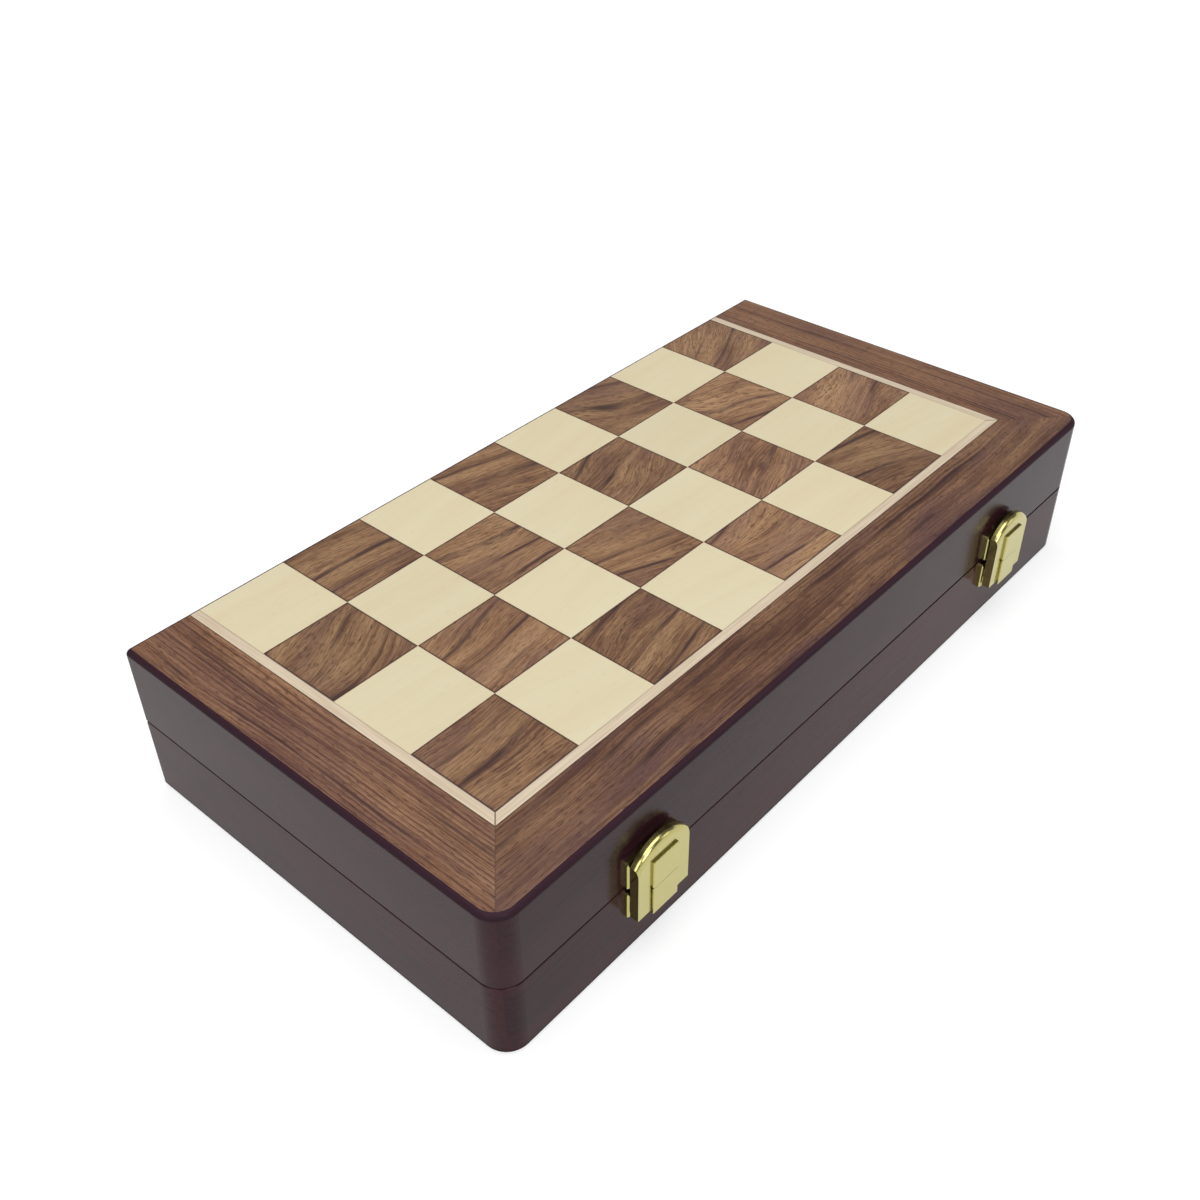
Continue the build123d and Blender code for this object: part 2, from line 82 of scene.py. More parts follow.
# Painted shade: the mouth of the seam between the trays is darkened to this colour, most towards
# the right, and loses much of its coat there.
SEAM_SHADE_COLOUR = (0.006, 0.004, 0.004)
SEAM_SHADE_HEIGHT_MM = (0.30, 0.50)
SEAM_SHADE_DEPTH_MM = (0.5, 1.0)
SEAM_SHADE_RUN_MM = (-110.0, 70.0)
LEAST_SEAM_SHADE = 0.15


class Finish:
    """A node material in the making. Each call adds one node and returns its output."""

    def __init__(self, name, **sockets):
        self.material = bpy.data.materials.new(name)
        self.material.use_nodes = True
        self.tree = self.material.node_tree
        self.shader = self.tree.nodes["Principled BSDF"]
        for socket, value in sockets.items():
            self.give(socket.replace("_", " "), value)

    def give(self, socket, value):
        """Set or link one of the shader's sockets."""
        self.feed(self.shader.inputs[socket], value)

    def feed(self, socket, value):
        if isinstance(value, bpy.types.NodeSocket):
            self.tree.links.new(value, socket)
        elif socket.type == "RGBA" and len(value) == 3:
            socket.default_value = (*value, 1.0)
        else:
            socket.default_value = value

    def node(self, kind, inputs, output=0, **settings):
        made = self.tree.nodes.new("ShaderNode" + kind)
        for setting, value in settings.items():
            setattr(made, setting, value)
        for socket, value in inputs.items():
            self.feed(made.inputs[socket], value)
        return made.outputs[output]

    def math(self, operation, *values):
        return self.node("Math", dict(enumerate(values)), operation=operation)

    def add(self, first, second):
        return self.math("ADD", first, second)

    def minus(self, first, second):
        return self.math("SUBTRACT", first, second)

    def times(self, first, second):
        return self.math("MULTIPLY", first, second)

    def blend(self, layers):
        """The sum of some values, each given with its share."""
        weighted = [self.times(value, share) for value, share in layers]
        total = weighted[0]
        for value in weighted[1:]:
            total = self.add(total, value)
        return total

    def vector(self, operation, *values):
        return self.node("VectorMath", dict(enumerate(values)), operation=operation)

    def place(self):
        """Where a point is in its piece, in millimetres."""
        where = self.node("TexCoord", {}, output="Object")
        return self.vector("MULTIPLY", where, (1 / MM, 1 / MM, 1 / MM))

    def parts(self, vector):
        split = self.node("SeparateXYZ", {0: vector}).node
        return split.outputs[0], split.outputs[1], split.outputs[2]

    def joined(self, x, y, z):
        return self.node("CombineXYZ", {0: x, 1: y, 2: z})

    def noise(self, place, frequency, detail=2.0, roughness=0.5):
        """Cloudy noise around 0.5, with so many blots to the millimetre along each axis."""
        stretched = self.vector("MULTIPLY", place, frequency)
        inputs = {"Vector": stretched, "Scale": 1.0, "Detail": detail, "Roughness": roughness}
        return self.node("TexNoise", inputs)

    def remap(self, value, low, high, new_low=0.0, new_high=1.0):
        """What lies between low and high, spread between two new values."""
        inputs = {"Value": value, "From Min": low, "From Max": high,
                  "To Min": new_low, "To Max": new_high}
        return self.node("MapRange", inputs, clamp=True)

    def fading(self, distance, near, far, most=1.0):
        """The most up to the near distance, less and less from there to nothing at the far."""
        return self.remap(distance, near, far, most, 0.0)

    def ramp(self, value, stops):
        """A colour for each stretch of a value, from (position, colour) stops."""
        stops = list(stops)
        made = self.tree.nodes.new("ShaderNodeValToRGB")
        self.feed(made.inputs[0], value)
        band = made.color_ramp
        while len(band.elements) < len(stops):
            band.elements.new(0.5)
        for element, (position, colour) in zip(band.elements, stops):
            element.position = position
            element.color = (*colour, 1.0)
        return made.outputs[0]

    def mix(self, factor, first, second, how="MIX"):
        """The first colour, with the second one over it."""
        inputs = {0: factor, 6: first, 7: second}
        return self.node("Mix", inputs, output=2, data_type="RGBA", blend_type=how)

    def bump(self, height, depth_mm, strength=1.0):
        """A relief of a depth in millimetres, and how strongly it shows."""
        inputs = {"Height": height, "Distance": depth_mm * MM, "Strength": strength}
        return self.node("Bump", inputs)


def painted_seam_shade(finish, axes):
    """The share of painted seam shade: all on the rims' outermost edges, most of it towards the
    right.
    """
    x, y, height = axes
    from_seam = finish.math("ABSOLUTE", finish.minus(height, CASE_HEIGHT_MM / 2))
    from_end = finish.minus(CASE_LENGTH_MM / 2, finish.math("ABSOLUTE", x))
    from_face = finish.minus(CASE_WIDTH_MM / 2, finish.math("ABSOLUTE", y))
    depth = finish.math("MINIMUM", from_end, from_face)
    near_seam = finish.fading(from_seam, *SEAM_SHADE_HEIGHT_MM)
    near_outside = finish.fading(depth, *SEAM_SHADE_DEPTH_MM)
    share_here = finish.remap(x, *SEAM_SHADE_RUN_MM, LEAST_SEAM_SHADE, 1.0)
    return finish.times(share_here, finish.times(near_seam, near_outside))


def cherry_lacquer(name, half, along):
    """Lacquered rails whose grain runs along X or along Y, and barely shows.

    The base is given a warmer red and a weaker coat than the lid."""
    finish = Finish(name, Roughness=0.5, Specular_IOR_Level=0.0, Coat_Roughness=0.20, Coat_IOR=1.25)
    place = finish.place()
    turn = {"X": (0, 1, 2), "Y": (1, 0, 2)}[along]
    axes = finish.parts(place)
    grain_place = finish.joined(*(axes[i] for i in turn))
    fibres = finish.noise(grain_place, RAIL_GRAIN_FREQUENCY, detail=4.0, roughness=0.6)
    clouds = finish.noise(grain_place, RAIL_CLOUD_FREQUENCY, detail=3.0)
    tone = finish.blend([(fibres, RAIL_GRAIN_SHARE), (clouds, 1.0 - RAIL_GRAIN_SHARE)])
    colour = finish.ramp(tone, zip(RAIL_TONES, (LACQUER_DARK, LACQUER_RED[half])))
    height = axes[2]
    from_board = finish.math("MINIMUM", height, finish.minus(CASE_HEIGHT_MM, height))
    # Painted shade on the rounded edges round the board, where the coat is also thinner.
    edge_shade = finish.fading(from_board, *DULL_AND_SHADED_EDGE_MM)
    # Painted shade in the mouth of the seam: a darker colour and less coat.
    seam_shade = painted_seam_shade(finish, axes)
    colour = finish.mix(edge_shade, colour, LACQUER_EDGE_SHADE)
    finish.give("Base Color", finish.mix(seam_shade, colour, SEAM_SHADE_COLOUR))
    gloss = finish.remap(from_board, *DULL_AND_SHADED_EDGE_MM, DULL_COAT, COAT[half])
    finish.give("Coat Weight", finish.times(gloss, finish.minus(1.0, seam_shade)))
    ripple = finish.noise(place, (1 / LACQUER_RIPPLE_MM,) * 3, detail=1.0)
    finish.give("Coat Normal", finish.bump(ripple, LACQUER_RIPPLE_DEPTH_MM))
    return finish.material


def dress(node, material):
    """Give one CAD piece its finish."""
    for slot in nodes[node].material_slots:
        slot.material = material


for half in HALVES:
    lacquer = {axis: cherry_lacquer(f"{half}_lacquer_{axis.lower()}", half, axis) for axis in "XY"}
    for rail, axis in {"front": "X", "hinge": "X", "left": "Y", "right": "Y"}.items():
        dress(f"{half}_{rail}_rail", lacquer[axis])


# The panels. A thin birch ply board closes each tray and carries the veneers on its outside
# and the cloth on its inside, let into a rebate in the rails and glued.

PLY_FIBRE_FREQUENCY = (0.03, 1.2, 0.5)
PLY_TONES = (0.35, 0.7)
PLY_TAN = (0.55, 0.39, 0.23)
PLY_PALE = (0.68, 0.52, 0.34)
PLY_BROWN = (0.36, 0.22, 0.12)
PLY_LAYER_MM = 0.9
PLY_LAYER_EDGE_MM = (0.36, 0.54)
PLY_LAYER_DEPTH = 0.35


def birch_ply():
    finish = Finish("birch_ply", Roughness=0.6)
    place = finish.place()
    fibres = finish.noise(place, PLY_FIBRE_FREQUENCY, detail=3.0)
    face = finish.ramp(fibres, zip(PLY_TONES, (PLY_TAN, PLY_PALE)))
    height = finish.parts(place)[2]
    layer = finish.math("PINGPONG", height, PLY_LAYER_MM)
    dark_layer = finish.remap(layer, *PLY_LAYER_EDGE_MM, 0.0, PLY_LAYER_DEPTH)
    finish.give("Base Color", finish.mix(dark_layer, face, PLY_BROWN))
    return finish.material


ply = birch_ply()
for half in HALVES:
    dress(f"{half}_panel", ply)


# The squares. Sixteen pieces of walnut and sixteen of maple veneer on each half, cut from
# different leaves, so that the figure starts anew in each one. Glue and scorched cut edges
# leave a thin dark line round the walnut. All is under a satin varnish.

squares_low, squares_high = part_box("lid_light_squares")
FILES = 8
SQUARE_MM = (squares_high[0] - squares_low[0]) / FILES / MM
FIELD_LEFT_MM = squares_low[0] / MM
FIELD_FRONT_MM = squares_low[1] / MM
WALNUT_PALE = (0.375, 0.226, 0.118)
WALNUT_MIDDLE = (0.248, 0.135, 0.070)
WALNUT_DEEP = (0.120, 0.056, 0.033)
WALNUT_PLUM = (0.160, 0.088, 0.080)
WALNUT_VEIN = (0.042, 0.019, 0.021)
WALNUT_PORE = (0.075, 0.033, 0.022)
WALNUT_TONES = (0.40, 0.49, 0.59)
WALNUT_CLOUD_FREQUENCY = (0.024, 0.11, 0.05)
WALNUT_LINE_FREQUENCY = (0.005, 1.25, 0.3)
WALNUT_FIBRE_FREQUENCY = (0.09, 2.4, 1.0)
WALNUT_PORE_FREQUENCY = (0.34, 3.1, 2.0)
WALNUT_PLUM_FREQUENCY = (0.02, 0.07, 0.05)
WALNUT_PLUM_FROM = (0.46, 0.62)
WALNUT_PORE_FROM = (0.54, 0.68)
WALNUT_PORE_DEPTH = 0.75
SWAY_FREQUENCY = (0.011, 0.030, 0.05)
VEIN_BREAK_FREQUENCY = (0.030, 0.11, 0.05)
VEIN_BREAK_FROM = (0.42, 0.60)
VEIN_CORE = 0.2
SQUARE_WAVE_MM = 7.0
SQUARE_SHARES = (0.38, 0.22)
SQUARE_MOTTLE = 0.30
SQUARE_VEINS = [(12.0, 1.4, 0.88)]
SQUARE_BRIGHTNESS = {"walnut": (0.82, 1.14), "maple": (0.965, 1.02)}
SQUARE_TURN = {"walnut": 0.8, "maple": 0.5}
SQUARE_LINE = {"walnut": (0.25, 0.65, 0.9), "maple": (0.1, 0.4, 0.5)}
SQUARE_SEED = 0.37
LEAF_SPAN_MM = (900.0, 700.0, 500.0)
VARNISH = 0.25
PORE_BUMP = (0.02, 0.25)
MAPLE_WARM = (0.648, 0.552, 0.357)
MAPLE_COOL = (0.662, 0.594, 0.409)
MAPLE_FLECK = (0.56, 0.44, 0.27)
MAPLE_TONES = (0.34, 0.64)
MAPLE_BAND_FREQUENCY = (0.010, 0.10, 0.1)
MAPLE_BAND_SHARE = 0.65
MAPLE_FIBRE_FREQUENCY = (0.05, 1.6, 1.0)
MAPLE_FLECK_FREQUENCY = (0.30, 1.3, 1.0)
MAPLE_FLECK_FROM = (0.66, 0.80)
MAPLE_FLECK_DEPTH = 0.35


def square_chance(finish, place):
    """Three chances from 0 to 1 that are the same all over one square."""
    x, y = finish.parts(place)[:2]
    file = finish.math("FLOOR", finish.math("DIVIDE", finish.minus(x, FIELD_LEFT_MM), SQUARE_MM))
    rank = finish.math("FLOOR", finish.math("DIVIDE", finish.minus(y, FIELD_FRONT_MM), SQUARE_MM))
    cell = finish.joined(file, rank, SQUARE_SEED)
    return finish.node("TexWhiteNoise", {"Vector": cell}, output="Color")


def edge_distance(finish, place):
    """How far a point is from the edge of its square, in millimetres."""
    x, y = finish.parts(place)[:2]
    distances = []
    for value, start in ((x, FIELD_LEFT_MM), (y, FIELD_FRONT_MM)):
        share = finish.math("FRACT", finish.math("DIVIDE", finish.minus(value, start), SQUARE_MM))
        from_middle = finish.math("ABSOLUTE", finish.minus(share, 0.5))
        distances.append(finish.times(finish.minus(0.5, from_middle), SQUARE_MM))
    return finish.math("MINIMUM", *distances)


def cut_from_leaf(finish, place, chance, most_turn):
    """A square's own place in the leaf of veneer: turned a little and moved far."""
    first = finish.parts(chance)[0]
    angle = finish.times(finish.minus(first, 0.5), most_turn)
    turned = finish.node("VectorRotate", {"Vector": place, "Angle": angle}, rotation_type="Z_AXIS")
    return finish.vector("ADD", turned, finish.vector("MULTIPLY", chance, LEAF_SPAN_MM))


def bent_grain(finish, place, wave_mm):
    """A place whose lines along X wander to the sides by up to a wave."""
    x, y, z = finish.parts(place)
    sway = finish.noise(place, SWAY_FREQUENCY)
    shift = finish.times(finish.minus(sway, 0.5), 4 * wave_mm)
    return finish.joined(x, finish.add(y, shift), z)


def growth_veins(finish, grain, pitch_mm, half_width):
    """Thin dark lines along the grain, a pitch apart, some strong and some hardly there."""
    y = finish.parts(grain)[1]
    step = finish.math("FRACT", finish.math("DIVIDE", y, pitch_mm))
    from_line = finish.times(finish.math("ABSOLUTE", finish.minus(step, 0.5)), pitch_mm)
    line = finish.fading(from_line, VEIN_CORE * half_width, half_width)
    strength = finish.remap(finish.noise(grain, VEIN_BREAK_FREQUENCY), *VEIN_BREAK_FROM)
    return finish.times(line, strength)


def walnut_figure(finish, place, wave_mm, shares, mottle, veins):
    """Walnut whose grain runs along X: clouds, parallel lines, fibres, dark veins and pores.

    The shares are those of the clouds and the lines, and the fibres have the rest. The veins
    are given as (pitch, half width, depth of the colour), in millimetres."""
    cloud_share, line_share = shares
    grain = bent_grain(finish, place, wave_mm)
    clouds = finish.noise(grain, WALNUT_CLOUD_FREQUENCY, detail=3.0, roughness=0.6)
    lines = finish.noise(grain, WALNUT_LINE_FREQUENCY, detail=2.0, roughness=0.55)
    fibres = finish.noise(grain, WALNUT_FIBRE_FREQUENCY, detail=3.0, roughness=0.7)
    pores = finish.noise(grain, WALNUT_PORE_FREQUENCY, detail=1.0)
    fibre_share = 1.0 - cloud_share - line_share
    tone = finish.blend([(clouds, cloud_share), (lines, line_share), (fibres, fibre_share)])
    colour = finish.ramp(tone, zip(WALNUT_TONES, (WALNUT_DEEP, WALNUT_MIDDLE, WALNUT_PALE)))
    plum_clouds = finish.noise(place, WALNUT_PLUM_FREQUENCY)
    plum = finish.remap(plum_clouds, *WALNUT_PLUM_FROM, 0.0, mottle)
    colour = finish.mix(plum, colour, WALNUT_PLUM)
    for pitch, half_width, depth in veins:
        vein = growth_veins(finish, grain, pitch, half_width)
        colour = finish.mix(finish.times(vein, depth), colour, WALNUT_VEIN)
    pore_mark = finish.remap(pores, *WALNUT_PORE_FROM, 0.0, WALNUT_PORE_DEPTH)
    return finish.mix(pore_mark, colour, WALNUT_PORE), pores


def one_of_many(finish, wood, place, chance, colour, line_colour):
    """A square's colour, lighter or darker than its neighbours', with a dark line round it."""
    brightness = finish.remap(finish.parts(chance)[1], 0.0, 1.0, *SQUARE_BRIGHTNESS[wood])
    colour = finish.node("HueSaturation", {"Color": colour, "Value": brightness})
    line = finish.fading(edge_distance(finish, place), *SQUARE_LINE[wood])
    return finish.mix(line, colour, line_colour)


def walnut_squares():
    finish = Finish("walnut_squares", Roughness=0.42, Specular_IOR_Level=VARNISH)
    place = finish.place()
    chance = square_chance(finish, place)
    own_place = cut_from_leaf(finish, place, chance, SQUARE_TURN["walnut"])
    colour, pores = walnut_figure(finish, own_place, SQUARE_WAVE_MM, SQUARE_SHARES,
                                  SQUARE_MOTTLE, SQUARE_VEINS)
    colour = one_of_many(finish, "walnut", place, chance, colour, WALNUT_VEIN)
    finish.give("Base Color", colour)
    finish.give("Normal", finish.bump(pores, *PORE_BUMP))
    return finish.material


def maple_figure(finish, place):
    """Maple whose grain runs along X: nearly plain, with faint bands and a few short flecks."""
    bands = finish.noise(place, MAPLE_BAND_FREQUENCY, detail=3.0)
    fibres = finish.noise(place, MAPLE_FIBRE_FREQUENCY, detail=3.0, roughness=0.6)
    flecks = finish.noise(place, MAPLE_FLECK_FREQUENCY, detail=1.0)
    tone = finish.blend([(bands, MAPLE_BAND_SHARE), (fibres, 1.0 - MAPLE_BAND_SHARE)])
    colour = finish.ramp(tone, zip(MAPLE_TONES, (MAPLE_WARM, MAPLE_COOL)))
    fleck_mark = finish.remap(flecks, *MAPLE_FLECK_FROM, 0.0, MAPLE_FLECK_DEPTH)
    return finish.mix(fleck_mark, colour, MAPLE_FLECK)


def maple_squares():
    finish = Finish("maple_squares", Roughness=0.40, Specular_IOR_Level=VARNISH)
    place = finish.place()
    chance = square_chance(finish, place)
    own_place = cut_from_leaf(finish, place, chance, SQUARE_TURN["maple"])
    colour = maple_figure(finish, own_place)
    colour = one_of_many(finish, "maple", place, chance, colour, MAPLE_FLECK)
    finish.give("Base Color", colour)
    return finish.material


dark_veneer = walnut_squares()
light_veneer = maple_squares()
for half in HALVES:
    dress(f"{half}_dark_squares", dark_veneer)
    dress(f"{half}_light_squares", light_veneer)


# The stringing and the border. A narrow maple strip and a wide walnut one run round three
# sides of the squares, each in three lengths mitred at the corners. The grain runs along
# every strip, and a hairline of glue shows along the stringing and in the mitres.

border_low, border_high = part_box("lid_stringing")
STRINGING_OUT_X_MM = border_high[0] / MM
STRINGING_OUT_Y_MM = border_low[1] / MM
STRINGING_IN_X_MM = squares_high[0] / MM
STRINGING_IN_Y_MM = squares_low[1] / MM
STRINGING_PALE = (0.635, 0.53, 0.395)
STRINGING_WARM = (0.543, 0.435, 0.31)
STRINGING_TONES = (0.38, 0.60)
STRINGING_FREQUENCY = (0.04, 1.5, 1.0)
STRINGING_SEEDS = {"X": 3.0, "Y": 4.0}
BORDER_STRIPS = {"front": "X", "left": "Y", "right": "Y"}
BORDER_FIRST_SEED = {"base": 1.0, "lid": 6.0}
BORDER_STAIN = {"X": (0.64, 0.585, 0.62), "Y": (0.79, 0.71, 0.74)}
BORDER_FIGURE = {
    "X": {"wave_mm": 2.5, "shares": (0.42, 0.34), "mottle": 0.7,
          "veins": [(8.0, 0.9, 0.80), (1.5, 0.30, 0.50)]},
    "Y": {"wave_mm": 1.6, "shares": (0.24, 0.42), "mottle": 0.3,
          "veins": [(9.0, 0.8, 0.65), (1.3, 0.30, 0.55)]},
}
STRIP_SPAN_MM = (431.0, 173.0, 59.0)
GLUE_LINE = (0.05, 0.022, 0.016)
BORDER_GLUE = (0.15, 0.5, 0.8)
BORDER_MITRE = (0.1, 0.35, 0.35)
STRINGING_GLUE = (0.05, 0.3, 0.5)
STRINGING_MITRE = (0.12, 0.35, 0.85)


def beyond(finish, place, corner_x, corner_y):
    """How far a point is outside a line round three sides of the field, along X and Y."""
    x, y = finish.parts(place)[:2]
    return finish.minus(finish.math("ABSOLUTE", x), corner_x), finish.minus(corner_y, y)


def with_glue(finish, colour, out_x, out_y, edge_line, mitre_line):
    """A strip's colour, with a dark line of glue along its inner edge and in its mitres."""
    edge = finish.fading(finish.math("MAXIMUM", out_x, out_y), *edge_line)
    from_mitre = finish.math("ABSOLUTE", finish.minus(out_x, out_y))
    mitre = finish.fading(from_mitre, *mitre_line)
    return finish.mix(finish.math("MAXIMUM", edge, mitre), colour, GLUE_LINE)


def strip_place(finish, place, along, seed):
    """A strip's place with its grain along X, far from where the other strips were cut."""
    x, y, z = finish.parts(place)
    turned = finish.joined(x, y, z) if along == "X" else finish.joined(y, x, z)
    return finish.vector("ADD", turned, [seed * span for span in STRIP_SPAN_MM])


def border_walnut(name, along, seed):
    """The front strips are mottled, the side strips are cut so that fine dark lines show."""
    finish = Finish(name, Roughness=0.44, Specular_IOR_Level=VARNISH)
    place = finish.place()
    own_place = strip_place(finish, place, along, seed)
    colour, pores = walnut_figure(finish, own_place, **BORDER_FIGURE[along])
    colour = finish.mix(1.0, colour, BORDER_STAIN[along], how="MULTIPLY")
    out_x, out_y = beyond(finish, place, STRINGING_OUT_X_MM, STRINGING_OUT_Y_MM)
    colour = with_glue(finish, colour, out_x, out_y, BORDER_GLUE, BORDER_MITRE)
    finish.give("Base Color", colour)
    finish.give("Normal", finish.bump(pores, *PORE_BUMP))
    return finish.material


def maple_stringing():
    finish = Finish("maple_stringing", Roughness=0.40, Specular_IOR_Level=VARNISH)
    place = finish.place()
    out_x, out_y = beyond(finish, place, STRINGING_IN_X_MM, STRINGING_IN_Y_MM)
    strips = []
    for along, seed in STRINGING_SEEDS.items():
        own_place = strip_place(finish, place, along, seed)
        fibres = finish.noise(own_place, STRINGING_FREQUENCY, detail=3.0)
        tones = zip(STRINGING_TONES, (STRINGING_WARM, STRINGING_PALE))
        strips.append(finish.ramp(fibres, tones))
    colour = finish.mix(finish.math("GREATER_THAN", out_x, out_y), *strips)
    colour = with_glue(finish, colour, out_x, out_y, STRINGING_GLUE, STRINGING_MITRE)
    finish.give("Base Color", colour)
    return finish.material


stringing = maple_stringing()
for half in HALVES:
    dress(f"{half}_stringing", stringing)
    for order, (side, along) in enumerate(BORDER_STRIPS.items()):
        seed = BORDER_FIRST_SEED[half] + order
        walnut = border_walnut(f"border_walnut_{half}_{side}", along, seed)
        dress(f"{half}_{side}_border", walnut)


# The floor cloths. A thin flocked cloth is glued to the inside of each panel, and shows at
# the bottom of the pockets. It lies flat, with the slight pucker that the glue leaves.

FLOCK_GREEN = (0.010, 0.050, 0.030)
FLOCK_BRIGHT = (0.020, 0.085, 0.050)
FLOCK_SHEEN = (0.16, 0.50, 0.32)
FLOCK_TONES = (0.40, 0.62)
FLOCK_BRUSH_FREQUENCY = (0.05, 0.07, 0.06)
FLOCK_BRUSH_SHARE = 0.6
FLOCK_NAP_FREQUENCY = (3.0, 3.0, 3.0)
FLOCK_NAP_BUMP = (0.12, 0.7)
CLOTH_CELLS = (70, 34)
PUCKER = 0.12 * MM
PUCKER_TURN = (0.9, 0.7)
PUCKER_BEND = 2.0
PUCKER_BEND_TURN = 0.5


def green_flock(name):
    """Short upright fibres on a backing: matt, a little brighter where the nap is brushed."""
    finish = Finish(name, Roughness=0.95, Specular_IOR_Level=0.1,
                    Sheen_Weight=0.25, Sheen_Roughness=0.4, Sheen_Tint=FLOCK_SHEEN)
    place = finish.place()
    brushed = finish.noise(place, FLOCK_BRUSH_FREQUENCY, detail=3.0)
    nap = finish.noise(place, FLOCK_NAP_FREQUENCY)
    tone = finish.blend([(brushed, FLOCK_BRUSH_SHARE), (nap, 1.0 - FLOCK_BRUSH_SHARE)])
    finish.give("Base Color", finish.ramp(tone, zip(FLOCK_TONES, (FLOCK_GREEN, FLOCK_BRIGHT))))
    finish.give("Normal", finish.bump(nap, *FLOCK_NAP_BUMP))
    return finish.material


def new_piece(name, mesh, material, body):
    """A new piece that rides on a body, with the given finish in its mesh's material slot."""
    mesh.materials.append(material)
    piece = bpy.data.objects.new(name, mesh)
    bpy.context.scene.collection.objects.link(piece)
    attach(piece, body)
    return piece


def puckered_cloth(low, high, seen_side):
    """A cloth's closed mesh, whose seen side, 1 for the top, dips a little here and there.

    The dips are waves that turn by so much from cell to cell."""
    across, along = CLOTH_CELLS
    shape = bmesh.new()
    layers = []
    for is_seen in (False, True):
        height = high[2] if is_seen == (seen_side > 0) else low[2]
        grid = {}
        for i in range(across + 1):
            for j in range(along + 1):
                x = low[0] + (high[0] - low[0]) * i / across
                y = low[1] + (high[1] - low[1]) * j / along
                bend = PUCKER_BEND * math.sin(j * PUCKER_BEND_TURN)
                wave = math.sin(i * PUCKER_TURN[0] + bend) * math.sin(j * PUCKER_TURN[1])
                dip = PUCKER * (1 + wave) / 2
                grid[i, j] = shape.verts.new((x, y, height - seen_side * dip * is_seen))
        layers.append(grid)
    for grid in layers:
        for i in range(across):
            for j in range(along):
                shape.faces.new((grid[i, j], grid[i + 1, j], grid[i + 1, j + 1], grid[i, j + 1]))
    rim = [(i, 0) for i in range(across)] + [(across, j) for j in range(along)]
    rim += [(i, along) for i in range(across, 0, -1)] + [(0, j) for j in range(along, 0, -1)]
    for here, there in zip(rim, rim[1:] + rim[:1]):
        shape.faces.new((layers[0][here], layers[0][there], layers[1][there], layers[1][here]))
    bmesh.ops.recalc_face_normals(shape, faces=shape.faces)
    mesh = bpy.data.meshes.new("puckered_cloth")
    shape.to_mesh(mesh)
    shape.free()
    return mesh


cloth_flock = green_flock("cloth_flock")
for half, seen_side in (("base", 1), ("lid", -1)):
    low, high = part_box(f"{half}_floor_cloth")
    mesh = puckered_cloth(low, high, seen_side)
    cloth = new_piece(f"{half}_cloth", mesh, cloth_flock, half)
    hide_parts(f"{half}_floor_cloth")


# The foam trays. A block of foam in each half is die-cut with eight narrow pockets and a
# long one, then flocked all over, which leaves its rims soft and round.

NARROW_POCKETS = 8
NARROW_POCKET_WIDTH = 26.6 * MM
NARROW_POCKET_LENGTH = 73.0 * MM
POCKET_WEB = 7.4 * MM
LONG_POCKET_WIDTH = 43.0 * MM
POCKET_CORNER = 5.0 * MM
POCKET_MARGIN = 6.0 * MM
POCKET_RIM = 1.6 * MM
BLOCK_CORNER = 1.2 * MM
SMALLEST_CORNER = 0.1 * MM
CORNER_STEPS = 8
RIM_STEPS = 5


def round_outline(low, high, radius):
    """The points of a rectangle with round corners, anticlockwise."""
    right, back = high[0] - radius, high[1] - radius
    left, front = low[0] + radius, low[1] + radius
    corners = ((right, back, 0), (left, back, 90), (left, front, 180), (right, front, 270))
    points = []
    for x, y, start in corners:
        for step in range(CORNER_STEPS + 1):
            angle = math.radians(start + 90 * step / CORNER_STEPS)
            points.append((x + radius * math.cos(angle), y + radius * math.sin(angle)))
    return points


def ring_of(shape, points, height):
    return [shape.verts.new((x, y, height)) for x, y in points]


def skin(shape, rings):
    """Join a stack of rings that have as many points each, and smooth the faces."""
    for lower, upper in zip(rings, rings[1:]):
        for i in range(len(lower)):
            j = (i + 1) % len(lower)
            face = shape.faces.new((lower[i], lower[j], upper[j], upper[i]))
            face.smooth = True


def cover(shape, rings):
    """A flat face between rings of one height, the first round all the others."""
    edges = []
    for ring in rings:
        for pair in zip(ring, ring[1:] + ring[:1]):
            edges.append(shape.edges.get(pair) or shape.edges.new(pair))
    bmesh.ops.triangle_fill(shape, use_beauty=True, edges=edges)


def rimmed_wall(shape, low, high, corner, bottom, top, inward):
    """An upright wall with a round rim. inward is 1 round a pocket and -1 round the block."""
    rings = []
    profile = [(0.0, bottom), (0.0, top - POCKET_RIM)]
    for step in range(1, RIM_STEPS + 1):
        turn = math.radians(90 * step / RIM_STEPS)
        profile.append((POCKET_RIM * (1 - math.cos(turn)), top - POCKET_RIM * (1 - math.sin(turn))))
    for grow, height in profile:
        grown = inward * grow
        outer_low = (low[0] - grown, low[1] - grown)
        outer_high = (high[0] + grown, high[1] + grown)
        radius = max(corner + grown, SMALLEST_CORNER)
        rings.append(ring_of(shape, round_outline(outer_low, outer_high, radius), height))
    skin(shape, rings)
    return rings[0], rings[-1]


def pocket_boxes(low, high):
    """The lowest and highest corner of each pocket, in the plane of the board."""
    middle = (low[0] + high[0]) / 2
    front = low[1] + POCKET_MARGIN
    pitch = NARROW_POCKET_WIDTH + POCKET_WEB
    for place in range(NARROW_POCKETS):
        left = middle + (place - NARROW_POCKETS / 2) * pitch + POCKET_WEB / 2
        yield (left, front), (left + NARROW_POCKET_WIDTH, front + NARROW_POCKET_LENGTH)
    half_row = (NARROW_POCKETS * pitch - POCKET_WEB) / 2
    back = high[1] - POCKET_MARGIN
    yield (middle - half_row, back - LONG_POCKET_WIDTH), (middle + half_row, back)


